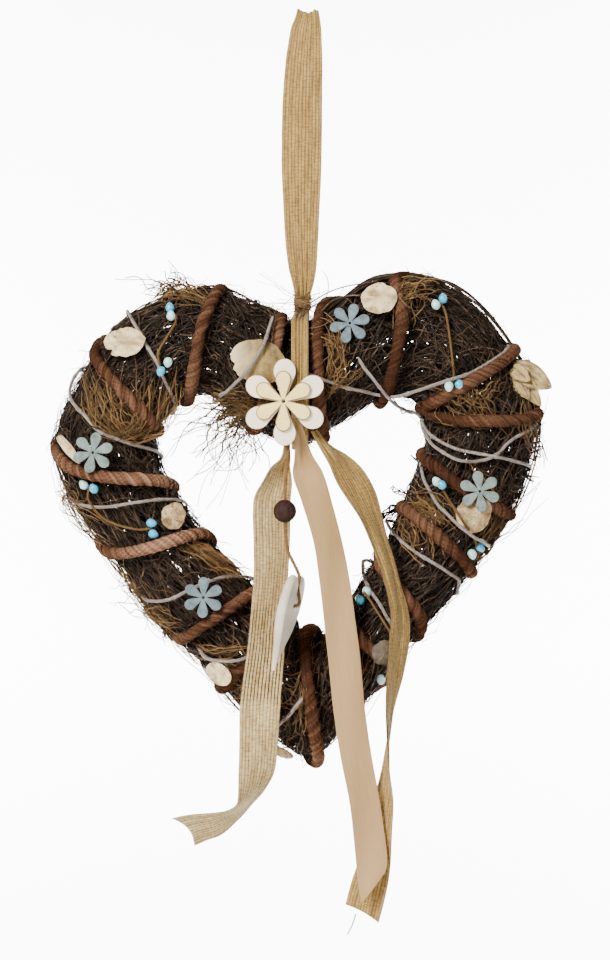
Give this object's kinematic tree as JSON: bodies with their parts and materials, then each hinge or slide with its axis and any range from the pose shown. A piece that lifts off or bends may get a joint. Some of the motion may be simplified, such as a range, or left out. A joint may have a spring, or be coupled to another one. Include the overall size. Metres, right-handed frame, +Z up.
{
  "type": "door wreath",
  "caption": "Heart-shaped wreath of bundled dark vines, bound with paper rope and pale twigs, with wooden flowers, bark slices, berries, ribbon tails and a jute hanging loop.",
  "frame": {"origin": "the flat place inside the crown of the ribbon loop, where the hook bears", "axes": "+Z up, the wreath hangs down along -Z and faces -Y"},
  "size_m": [0.32, 0.1148, 0.5688],
  "materials": {
    "bark_brown": "brown bark",
    "bark_cream": "bleached bark",
    "bark_olive": "smooth olive bark",
    "bark_tan": "light tan bark",
    "bead_wood": "dark stained, lightly waxed",
    "berry_blue": "glossy",
    "berry_mint": "glossy",
    "felt_blue": "pressed felt, grey blue",
    "felt_mint": "pressed felt, grey mint",
    "fibre_tie": "wound plant fibre",
    "flower_cream": "stained cream",
    "flower_white": "painted matt white",
    "heart_wood": "painted matt white",
    "jute": "coarse woven jute",
    "paper_rope": "twisted paper cord",
    "satin": "smooth satin weave",
    "steel_wire": "thin bare wire",
    "stem": "wrapped stem, rough",
    "twine": "twisted jute twine",
    "vine": "rough dry bark",
    "white_twig": "twig wrapped in pale paper"
  },
  "bodies": {
    "root": {"bark_crescent": "bark_olive", "bark_slice_brown": "bark_brown", "bark_slice_cream": "bark_cream", "bark_slice_ivory": "bark_cream", "bark_slice_olive": "bark_olive", "bark_slice_pale": "bark_cream", "bark_slice_tan": "bark_tan", "bark_strip": "bark_tan", "berry_1_a": "berry_blue", "berry_1_b": "berry_mint", "berry_1_c": "berry_mint", "berry_1_d": "berry_blue", "berry_2_a": "berry_blue", "berry_2_b": "berry_mint", "berry_2_c": "berry_mint", "berry_2_d": "berry_blue", "berry_3_a": "berry_mint", "berry_3_b": "berry_blue", "berry_3_c": "berry_blue", "berry_3_d": "berry_blue", "berry_4_a": "berry_mint", "berry_4_b": "berry_blue", "berry_4_c": "berry_blue", "berry_4_d": "berry_mint", "berry_5_a": "berry_blue", "berry_5_b": "berry_mint", "berry_5_c": "berry_mint", "berry_stem_1": "stem", "berry_stem_2": "stem", "berry_stem_3": "stem", "berry_stem_4": "stem", "berry_stem_5": "stem", "flower_back": "flower_white", "flower_front": "flower_cream", "hanging_ribbon": "jute", "jute_tail_left": "jute", "jute_tail_right": "jute", "paper_rope": "paper_rope", "paper_rope_short": "paper_rope", "pendant_twine": "twine", "pod_shell": "bark_cream", "ribbon_tie": "fibre_tie", "ribbon_wire": "steel_wire", "satin_tail": "satin", "small_flower_1": "felt_mint", "small_flower_2": "felt_blue", "small_flower_3": "felt_blue", "small_flower_4": "felt_mint", "vine_ring": "vine", "white_heart": "heart_wood", "white_twig_cleft": "white_twig", "white_twig_corner": "white_twig", "white_twig_crossing": "white_twig", "white_twig_left": "white_twig", "white_twig_right": "white_twig", "white_twig_tip": "white_twig", "white_twig_top": "white_twig", "wood_slice_ringed": "bark_tan", "wooden_bead": "bead_wood"}
  },
  "joints": []
}
